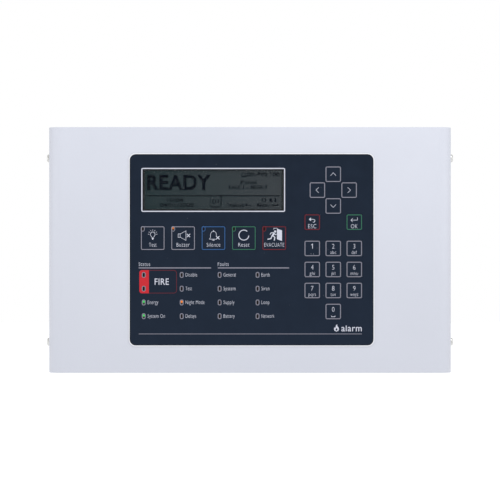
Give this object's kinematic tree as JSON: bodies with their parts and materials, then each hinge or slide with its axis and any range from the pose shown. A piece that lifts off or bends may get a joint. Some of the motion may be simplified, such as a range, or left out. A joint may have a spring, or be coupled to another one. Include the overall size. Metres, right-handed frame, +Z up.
{
  "type": "fire alarm control panel",
  "caption": "Wall-mounted fire alarm control panel: white steel box with a dark membrane overlay, graphic display window, function, arrow and digit keys and status lights.",
  "frame": {"origin": "centre of the back box's wall face, which is also the centre of the four wall holes", "axes": "X to the right as seen from the front, Y from the front face towards the wall, Z up; the front faces -Y"},
  "size_m": [0.3892, 0.1004, 0.234],
  "materials": {
    "white_powder_coat": "satin",
    "overlay_print": "satin",
    "zinc_steel": "satin",
    "brass_zinc": "satin",
    "green_board": "satin",
    "terminal_green": "satin",
    "black_plastic": "satin",
    "capacitor_sleeve": "gloss",
    "ribbon_grey": "satin",
    "supply_case": "satin",
    "terminal_white": "satin",
    "clear_glass": "gloss",
    "battery_case": "satin",
    "lead_sheath": "satin",
    "light_guide": "satin",
    "display_dark": "gloss",
    "lamp_resin": "gloss",
    "lamp_green": "gloss",
    "lamp_orange": "gloss",
    "print_white": "satin"
  },
  "bodies": {
    "base": {"back_box": "white_powder_coat", "cover_screws": "zinc_steel", "clinch_nuts": "zinc_steel", "main_board": "green_board", "board_pillars": "brass_zinc", "board_screws": "zinc_steel", "terminal_blocks": "terminal_green", "terminal_screws": "zinc_steel", "relays": "black_plastic", "capacitors": "capacitor_sleeve", "board_chips": "black_plastic", "loop_card": "green_board", "ribbon_cable": "ribbon_grey", "ribbon_plugs": "black_plastic", "power_supply": "supply_case", "mains_terminal": "terminal_white", "fuse": "clear_glass", "battery_left": "battery_case", "battery_right": "battery_case", "battery_bracket": "zinc_steel", "battery_leads": "lead_sheath", "power_leads": "lead_sheath", "earth_stud": "brass_zinc"},
    "cover": {"front_cover": "white_powder_coat", "front_overlay": "overlay_print", "light_guides": "light_guide", "lcd_window": "clear_glass", "lcd_bezel": "zinc_steel", "lcd_panel": "display_dark", "lcd_board": "green_board", "display_board": "green_board", "key_switches": "black_plastic", "indicator_lamps": "lamp_resin", "lamp_spacers": "black_plastic", "cover_pillars": "brass_zinc", "cover_board_screws": "zinc_steel", "sounder": "black_plastic", "display_header": "black_plastic", "lcd_link": "ribbon_grey"},
    "key_lamp_test": {"key_lamp_test": "overlay_print"},
    "key_buzzer": {"key_buzzer": "overlay_print"},
    "key_silence": {"key_silence": "overlay_print"},
    "key_reset": {"key_reset": "overlay_print"},
    "key_evacuate": {"key_evacuate": "overlay_print"},
    "key_up": {"key_up": "overlay_print"},
    "key_down": {"key_down": "overlay_print"},
    "key_left": {"key_left": "overlay_print"},
    "key_right": {"key_right": "overlay_print"},
    "key_escape": {"key_escape": "overlay_print"},
    "key_ok": {"key_ok": "overlay_print"},
    "key_0": {"key_0": "overlay_print"},
    "key_1": {"key_1": "overlay_print"},
    "key_2": {"key_2": "overlay_print"},
    "key_3": {"key_3": "overlay_print"},
    "key_4": {"key_4": "overlay_print"},
    "key_5": {"key_5": "overlay_print"},
    "key_6": {"key_6": "overlay_print"},
    "key_7": {"key_7": "overlay_print"},
    "key_8": {"key_8": "overlay_print"},
    "key_9": {"key_9": "overlay_print"}
  },
  "joints": [
    {"name": "cover_slide", "type": "slide", "parent": "base", "child": "cover", "axis": [0, -1, 0], "range_m": [0, 0.12]},
    {"name": "key_lamp_test_press", "type": "slide", "parent": "cover", "child": "key_lamp_test", "axis": [0, 1, 0], "range_m": [0, 0.0004], "stiffness_N_per_m": 2000, "springref_m": -0.0005},
    {"name": "key_buzzer_press", "type": "slide", "parent": "cover", "child": "key_buzzer", "axis": [0, 1, 0], "range_m": [0, 0.0004], "stiffness_N_per_m": 2000, "springref_m": -0.0005},
    {"name": "key_silence_press", "type": "slide", "parent": "cover", "child": "key_silence", "axis": [0, 1, 0], "range_m": [0, 0.0004], "stiffness_N_per_m": 2000, "springref_m": -0.0005},
    {"name": "key_reset_press", "type": "slide", "parent": "cover", "child": "key_reset", "axis": [0, 1, 0], "range_m": [0, 0.0004], "stiffness_N_per_m": 2000, "springref_m": -0.0005},
    {"name": "key_evacuate_press", "type": "slide", "parent": "cover", "child": "key_evacuate", "axis": [0, 1, 0], "range_m": [0, 0.0004], "stiffness_N_per_m": 2000, "springref_m": -0.0005},
    {"name": "key_up_press", "type": "slide", "parent": "cover", "child": "key_up", "axis": [0, 1, 0], "range_m": [0, 0.0004], "stiffness_N_per_m": 2000, "springref_m": -0.0005},
    {"name": "key_down_press", "type": "slide", "parent": "cover", "child": "key_down", "axis": [0, 1, 0], "range_m": [0, 0.0004], "stiffness_N_per_m": 2000, "springref_m": -0.0005},
    {"name": "key_left_press", "type": "slide", "parent": "cover", "child": "key_left", "axis": [0, 1, 0], "range_m": [0, 0.0004], "stiffness_N_per_m": 2000, "springref_m": -0.0005},
    {"name": "key_right_press", "type": "slide", "parent": "cover", "child": "key_right", "axis": [0, 1, 0], "range_m": [0, 0.0004], "stiffness_N_per_m": 2000, "springref_m": -0.0005},
    {"name": "key_escape_press", "type": "slide", "parent": "cover", "child": "key_escape", "axis": [0, 1, 0], "range_m": [0, 0.0004], "stiffness_N_per_m": 2000, "springref_m": -0.0005},
    {"name": "key_ok_press", "type": "slide", "parent": "cover", "child": "key_ok", "axis": [0, 1, 0], "range_m": [0, 0.0004], "stiffness_N_per_m": 2000, "springref_m": -0.0005},
    {"name": "key_0_press", "type": "slide", "parent": "cover", "child": "key_0", "axis": [0, 1, 0], "range_m": [0, 0.0004], "stiffness_N_per_m": 2000, "springref_m": -0.0005},
    {"name": "key_1_press", "type": "slide", "parent": "cover", "child": "key_1", "axis": [0, 1, 0], "range_m": [0, 0.0004], "stiffness_N_per_m": 2000, "springref_m": -0.0005},
    {"name": "key_2_press", "type": "slide", "parent": "cover", "child": "key_2", "axis": [0, 1, 0], "range_m": [0, 0.0004], "stiffness_N_per_m": 2000, "springref_m": -0.0005},
    {"name": "key_3_press", "type": "slide", "parent": "cover", "child": "key_3", "axis": [0, 1, 0], "range_m": [0, 0.0004], "stiffness_N_per_m": 2000, "springref_m": -0.0005},
    {"name": "key_4_press", "type": "slide", "parent": "cover", "child": "key_4", "axis": [0, 1, 0], "range_m": [0, 0.0004], "stiffness_N_per_m": 2000, "springref_m": -0.0005},
    {"name": "key_5_press", "type": "slide", "parent": "cover", "child": "key_5", "axis": [0, 1, 0], "range_m": [0, 0.0004], "stiffness_N_per_m": 2000, "springref_m": -0.0005},
    {"name": "key_6_press", "type": "slide", "parent": "cover", "child": "key_6", "axis": [0, 1, 0], "range_m": [0, 0.0004], "stiffness_N_per_m": 2000, "springref_m": -0.0005},
    {"name": "key_7_press", "type": "slide", "parent": "cover", "child": "key_7", "axis": [0, 1, 0], "range_m": [0, 0.0004], "stiffness_N_per_m": 2000, "springref_m": -0.0005},
    {"name": "key_8_press", "type": "slide", "parent": "cover", "child": "key_8", "axis": [0, 1, 0], "range_m": [0, 0.0004], "stiffness_N_per_m": 2000, "springref_m": -0.0005},
    {"name": "key_9_press", "type": "slide", "parent": "cover", "child": "key_9", "axis": [0, 1, 0], "range_m": [0, 0.0004], "stiffness_N_per_m": 2000, "springref_m": -0.0005}
  ]
}
